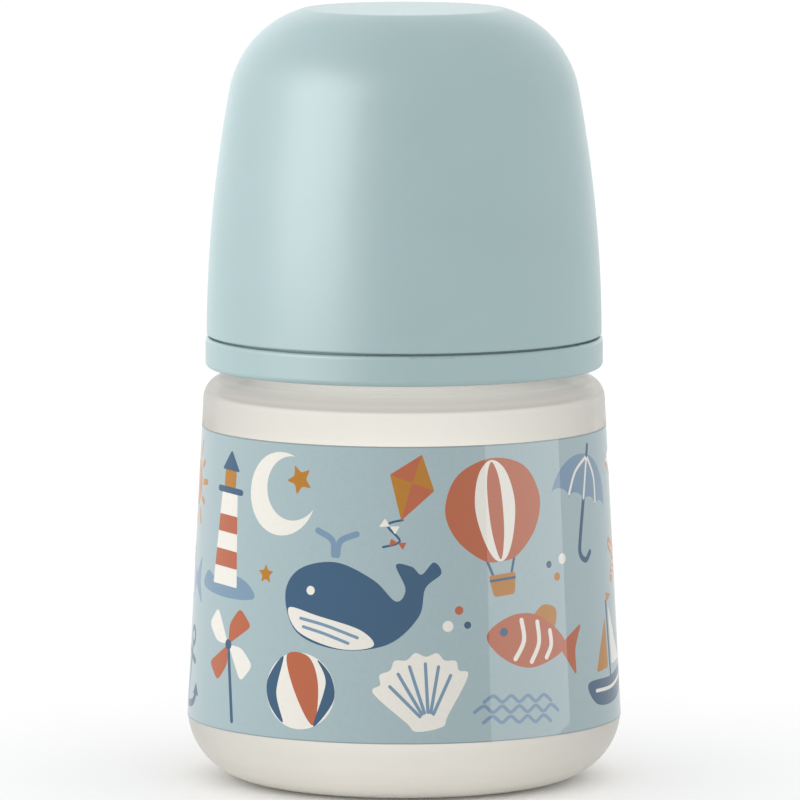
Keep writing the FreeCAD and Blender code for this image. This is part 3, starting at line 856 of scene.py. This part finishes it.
def make_bottle(outer, inner):
    """The bottle's wall as one closed mesh, turned, apart from the band that holds the film's seat."""
    *sizes, half_turn = film_frame()
    low, high, at_low, at_high = (size / MM for size in sizes)
    bottom, top = low - BAND_BELOW, high + BAND_ABOVE
    outside = rounded_path(BOTTLE + RIM_INSIDE)
    inside = bottle_inside()[::-1]
    wall = [point for point in outside if point[0] > WALL_OVER]

    def wall_radius(height):
        return float(np.interp(height, [p[1] for p in wall], [p[0] for p in wall]))

    split = next(i for i, point in enumerate(outside) if point[0] > WALL_OVER and point[1] > bottom)
    resume = next(i for i, point in enumerate(outside) if point[1] > top)
    below = outside[:split] + [(wall_radius(bottom), bottom)]
    above = [(wall_radius(top), top)] + outside[resume:]
    vertices, faces, inks = [], [], []

    def turn_path(path, ink):
        base, rows = len(vertices), len(path)
        for k in range(BOTTLE_COLUMNS):
            angle = 2 * math.pi * k / BOTTLE_COLUMNS
            vertices.extend(around(angle, radius, height) for radius, height in path)
        for k in range(BOTTLE_COLUMNS):
            here, there = base + k * rows, base + (k + 1) % BOTTLE_COLUMNS * rows
            for row in range(rows - 1):
                faces.append((here + row, there + row, there + row + 1, here + row + 1))
                inks.append(ink)

    turn_path(below, SKIN)
    turn_path(above, SKIN)
    turn_path(inside, LINING)

    # The band, cut flat along the outline of the seat. Its width is measured at the film's middle radius.
    middle = (at_low + at_high) / 2
    edge = [math.pi * middle * (2 * k / BOTTLE_COLUMNS - 1) for k in range(BOTTLE_COLUMNS + 1)]
    levels = [bottom + (top - bottom) * k / SHEET_ROWS for k in range(SHEET_ROWS + 1)]
    border = ([(u, bottom) for u in edge] + [(edge[-1], v) for v in levels[1:-1]]
              + [(u, top) for u in edge[::-1]] + [(edge[0], v) for v in levels[-2:0:-1]])
    seat_width, seat_height = 2 * half_turn * middle + 2 * SEAT_GAP, high - low + 2 * SEAT_GAP
    seat = rounded_sheet(seat_width, seat_height, FILM_CORNER + SEAT_GAP)
    seat = [(u, v + low - SEAT_GAP) for u, v in seat]
    points = border + seat + [(u, v) for u in edge[1:-1] for v in levels[1:-1]]
    loops = [list(range(len(border))), list(range(len(border), len(border) + len(seat)))]
    seat_loop = 1
    flat, triangles, owners = cut_flat(points, loops, tolerance=1e-6)
    base, count = len(vertices), len(flat)
    for u, v in flat:
        vertices.append(around(u / middle, wall_radius(v), v))
    for u, v in flat:
        film_radius = at_low + (at_high - at_low) * (v - low) / (high - low)
        vertices.append(around(u / middle, film_radius - SEAT_DEPTH, v))
    # Inside the seat's outline the faces sink to its floor, in the lining's lighter colour, which is painted
    # light.
    seated = []
    for triangle, owner in zip(triangles, owners):
        if seat_loop in owner:
            seated.append(triangle)
            faces.append(tuple(base + count + i for i in triangle))
            inks.append(LINING)
        else:
            faces.append(tuple(base + i for i in triangle))
            inks.append(SKIN)
    for a, b in open_edges(seated):
        faces.append((base + b, base + a, base + a + count, base + b + count))
        inks.append(SKIN)
    bottle = mesh_piece("bottle_wall", vertices, faces, [outer, inner], "bottle")
    bottle.data.polygons.foreach_set("material_index", inks)
    weld(bottle.data)
    bottle.data.set_sharp_from_angle(angle=math.radians(30))
    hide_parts("bottle_body")
    return bottle


# The teat

TEAT_WALL = 1.9
TEAT_COLUMNS = 160
# Corners of the teat's foot, with its flange and bead, and of its dome.
# Each has its radius, height and rounding in millimetres.
TEAT_FOOT = [(17.4, 75.1, 0.0), (24.1, 75.1, 0.25), (24.1, 77.1, 0.25), (19.3, 77.1, 0.25),
             (19.3, 79.1, 0.25), (20.5, 79.1, 0.5), (20.5, 80.6, 0.5), (19.3, 80.6, 0.3)]
TEAT_DOME = [(19.3, 75.1, 0.0), (19.3, 80.6, 0.0), (18.1, 90.2, 9.0), (6.4, 94.8, 5.0),
             (7.2, 111.43, 6.2), (0.4, 111.43, 0.0)]


def make_teat(material):
    """A soft hollow teat on the lines of its CAD solid."""
    inside = rounded_path(inset(TEAT_DOME, TEAT_WALL))
    profile = rounded_path(TEAT_FOOT + TEAT_DOME[2:]) + inside[:0:-1]
    vertices, faces = lathe(profile, TEAT_COLUMNS)
    teat = mesh_piece("silicone_teat", vertices, faces, [material], "teat")
    weld(teat.data)
    teat.data.set_sharp_from_angle(angle=math.radians(40))
    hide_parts("teat")


# Threads

# Millimetres that a thread climbs in a turn.
LEAD = 6.0
# A ridge's side from its foot to its crest: the share of its height, and millimetres from its middle.
RIDGE_SIDE = [(0.0, 1.05), (0.45, 0.92), (0.85, 0.62), (1.0, 0.25)]
RIDGE = [(reach, -across) for reach, across in RIDGE_SIDE] + RIDGE_SIDE[::-1]
# Degrees over which a ridge fades out at its ends, and degrees from one section to the next.
THREAD_FADE, THREAD_STEP = 40.0, 3.0
# What is left of a ridge's height and breadth at its ends.
END_HEIGHT, END_BREADTH = 0.06, 0.55


def make_thread(name, material, body, root, crest, start, first, last):
    """A ridge that climbs right-handed from its first to its last degree.

    Root and crest are its radii and start is its height at 0 degrees, in millimetres.
    """
    vertices, faces = [], []
    stations = round((last - first) / THREAD_STEP)
    for k in range(stations + 1):
        angle = first + (last - first) * k / stations
        strength = min(1.0, (angle - first) / THREAD_FADE, (last - angle) / THREAD_FADE)
        strength = max(END_HEIGHT, math.sin(strength * math.pi / 2))
        breadth = END_BREADTH + (1 - END_BREADTH) * strength
        a = math.radians(angle)
        for reach, across in RIDGE:
            radius = (root + (crest - root) * reach * strength) * MM
            height = (start + LEAD * angle / 360 + across * breadth) * MM
            vertices.append((radius * math.cos(a), radius * math.sin(a), height))
    rows = len(RIDGE)
    inward = crest < root
    for k in range(stations):
        for i in range(rows):
            j = (i + 1) % rows
            quad = (k * rows + i, (k + 1) * rows + i, (k + 1) * rows + j, k * rows + j)
            faces.append(quad[::-1] if inward else quad)
    ends = (tuple(range(rows)), tuple(range(stations * rows, stations * rows + rows))[::-1])
    faces += [end[::-1] for end in ends] if inward else list(ends)
    return mesh_piece(name, vertices, faces, [material], body)


# The raised scale at the back

# Cubic millimetres in a millilitre.
MILLILITRE = 1000
# The scale in millilitres: its first and last mark, and how far apart its marks and its numbers are.
FIRST_MARK, LAST_MARK = 20, 150
MARK_EVERY, NUMBER_EVERY = 10, 30
# Lengths and widths of its marks in millimetres, and how far they reach into the wall and stand out of it.
LONG_MARK, SHORT_MARK = (7.5, 0.6), (4.0, 0.45)
MARK_SUNK, MARK_PROUD = 0.12, 0.22
# Height of its figures, and where they begin to the right of the marks, in millimetres.
NUMBER_SIZE, NUMBER_START = 4.6, 1.6


def filling_level(path):
    """A function from millilitres to the height of the liquid inside a path that is turned round."""
    piece, rise = 0.2, 0.05
    radius, height = [], []
    for (r1, z1), (r2, z2) in zip(path, path[1:]):
        steps = max(2, math.ceil(math.hypot(r2 - r1, z2 - z1) / piece))
        radius += list(np.linspace(r1, r2, steps))
        height += list(np.linspace(z1, z2, steps))
    middle = (np.array(radius[1:]) + np.array(radius[:-1])) / 2
    levels = np.arange(min(height), max(height), rise)
    volumes = [math.pi * np.sum(middle ** 2 * np.diff(np.minimum(height, level))) / MILLILITRE
               for level in levels]
    return lambda filling: float(np.interp(filling, volumes, levels))


def make_scale(material):
    """Raised marks with plain numbers on the bare strip of the wall, each at the height of its filling."""
    low, high, at_low, at_high, _ = film_frame()
    sunk, proud = MARK_SUNK * MM, MARK_PROUD * MM
    level = filling_level(bottle_inside())

    def wrap(u, height, depth):
        """u runs left to right as seen from the back."""
        radius = at_low + (at_high - at_low) * (height * MM - low) / (high - low) + depth
        angle = u * MM / radius
        return -radius * math.sin(angle), radius * math.cos(angle), height * MM

    vertices, faces = [], []

    def bar(length, width, height):
        """A mark that ends at the middle of the strip, with its upper edges chamfered."""
        spacing, top_share, side_share = 0.8, 0.3, 0.6
        parts = max(2, round(length / spacing))
        base = len(vertices)
        side, top, edge = width / 2, width * top_share, proud * side_share
        corners = ((-side, -sunk), (-side, edge), (-top, proud), (top, proud), (side, edge), (side, -sunk))
        n = len(corners)
        for k in range(parts + 1):
            for dz, depth in corners:
                vertices.append(wrap(-length + length * k / parts, height + dz, depth))
        for k in range(parts):
            here, there = base + k * n, base + (k + 1) * n
            for i in range(n):
                j = (i + 1) % n
                faces.append((here + i, here + j, there + j, there + i))
        faces.append(tuple(base + i for i in range(n))[::-1])
        faces.append(tuple(base + parts * n + i for i in range(n)))

    for filling in range(FIRST_MARK, LAST_MARK + 1, MARK_EVERY):
        length, width = SHORT_MARK if filling % NUMBER_EVERY else LONG_MARK
        bar(length, width, level(filling))
    for filling in range(NUMBER_EVERY, LAST_MARK + 1, NUMBER_EVERY):
        curve = bpy.data.curves.new(f"number_{filling}", "FONT")
        curve.body = str(filling)
        curve.size = NUMBER_SIZE
        curve.align_x, curve.align_y = "LEFT", "CENTER"
        curve.extrude = 0.5
        curve.resolution_u = 6
        holder = bpy.data.objects.new(curve.name, curve)
        scene.collection.objects.link(holder)
        bpy.context.view_layer.update()
        graph = bpy.context.evaluated_depsgraph_get()
        drawn = bpy.data.meshes.new_from_object(holder.evaluated_get(graph))
        base = len(vertices)
        for v in drawn.vertices:
            depth = proud if v.co.z > 0 else -sunk
            vertices.append(wrap(NUMBER_START + v.co.x, level(filling) + v.co.y, depth))
        faces += [tuple(base + i for i in p.vertices) for p in drawn.polygons]
        bpy.data.objects.remove(holder)
        bpy.data.curves.remove(curve)
        bpy.data.meshes.remove(drawn)
    marks = mesh_piece("volume_scale", vertices, faces, [material], "bottle", smooth=False)
    weld(marks.data)
    return marks


# Build

teal = moulded_plastic("teal_plastic", TEAL)
milk = milky_plastic("milky_plastic", MILK, OPACITY)
milk_inside = milky_plastic("milky_plastic_inside", MILK_INSIDE)
inks = {name: print_ink(f"film_{name}", colour) for name, colour in INKS.items()}
silicone = clear_silicone("clear_silicone")

dress("cap", teal)
dress("screw_collar", teal)
film = make_film(inks)
bottle = make_bottle(milk, milk_inside)
make_teat(silicone)
neck_thread = make_thread("neck_thread", milk, "bottle",
                          root=24.15, crest=25.45, start=65.0, first=0.0, last=450.0)
make_thread("collar_thread", teal, "collar",
            root=25.95, crest=24.65, start=62.0, first=120.0, last=560.0)
marks = make_scale(milk_inside)

# Floor, light and camera

# How far the floor reaches each way, and how far it lies below the bottle, in metres.
FLOOR_REACH = 6.0
FLOOR_DROP = 2e-4
# The camera's place in metres, the degrees that it looks down and its lens in millimetres.
CAMERA_PLACE = (-0.00063, -1.355, 0.20898)
CAMERA_DIP = 6.38
CAMERA_LENS = 404.06

floor_corners = [(x * FLOOR_REACH, y * FLOOR_REACH, -FLOOR_DROP)
                 for x, y in ((-1, -1), (1, -1), (1, 1), (-1, 1))]
floor_mesh = bpy.data.meshes.new("floor")
floor_mesh.from_pydata(floor_corners, [], [(0, 1, 2, 3)])
floor_mesh.materials.append(studio_floor("pale_floor"))
floor = bpy.data.objects.new("floor", floor_mesh)
scene.collection.objects.link(floor)

world = bpy.data.worlds.new("studio")
scene.world = world
world.use_nodes = True
world.node_tree.nodes["Background"].inputs["Color"].default_value = (1.0, 1.0, 1.0, 1.0)
world.node_tree.nodes["Background"].inputs["Strength"].default_value = 1.05


def softbox(name, azimuth, elevation, distance, width, height, power, receivers, diffuse=True, glossy=True,
            target=(0, 0, 0.06), blockers=None):
    """A panel of light that faces the bottle and falls on its receivers only.

    Azimuth 0 is the front and runs to the right of the picture. Angles are in degrees, sizes in metres.
    """
    data = bpy.data.lights.new(name, "AREA")
    data.shape = "RECTANGLE"
    data.size, data.size_y = width, height
    data.energy = power
    light = bpy.data.objects.new(name, data)
    a, e = math.radians(azimuth), math.radians(elevation)
    away = Vector((math.sin(a) * math.cos(e), -math.cos(a) * math.cos(e), math.sin(e)))
    light.location = Vector(target) + distance * away
    light.rotation_euler = away.to_track_quat("Z", "Y").to_euler()
    light.visible_camera = False
    light.visible_diffuse = diffuse
    light.visible_glossy = glossy
    group = bpy.data.collections.new(name + "_receivers")
    for item in receivers:
        group.objects.link(item)
    light.light_linking.receiver_collection = group
    if blockers:
        screen = bpy.data.collections.new(name + "_blockers")
        for item in blockers:
            screen.objects.link(item)
        light.light_linking.blocker_collection = screen
    scene.collection.objects.link(light)


shell = [NODES["cap"], NODES["screw_collar"]]
body = [bottle, marks, neck_thread]
# Each panel's azimuth, elevation, distance, width, height and power.
softbox("key_gloss", -56, 15, 0.9, 0.8, 0.9, 12.0, shell, diffuse=False)
softbox("key_side", -95, 12, 0.9, 0.5, 0.8, 4.6, shell, glossy=False)
softbox("film_wash", -75, 12, 0.9, 0.5, 0.8, 4.6, [film], glossy=False)
softbox("film_window", 66, 0, 0.15, 0.133, 0.243, 0.273, [film], diffuse=False, target=(0, 0, 0.1216))
softbox("body_front", -18, -4, 1.0, 0.5, 0.5, 3.1, body, glossy=False, blockers=[marks])
softbox("body_low", -10, -35, 1.0, 0.5, 0.5, 0.75, body, glossy=False, blockers=[marks])
softbox("body_top", -5, 80, 1.0, 0.5, 0.5, 6.0, body, glossy=False, blockers=[marks])
softbox("body_back", 180, 10, 1.0, 0.5, 0.5, 2.2, body, glossy=False, blockers=[marks])
softbox("backdrop", 180, 12, 0.8, 1.2, 0.8, 1.8, shell)

camera = bpy.data.cameras.new("camera")
camera.sensor_width = 36.0
camera.lens = CAMERA_LENS
camera.clip_end = 50.0
camera_object = bpy.data.objects.new("camera", camera)
camera_object.location = CAMERA_PLACE
camera_object.rotation_euler = (math.radians(90 - CAMERA_DIP), 0, 0)
scene.collection.objects.link(camera_object)
scene.camera = camera_object
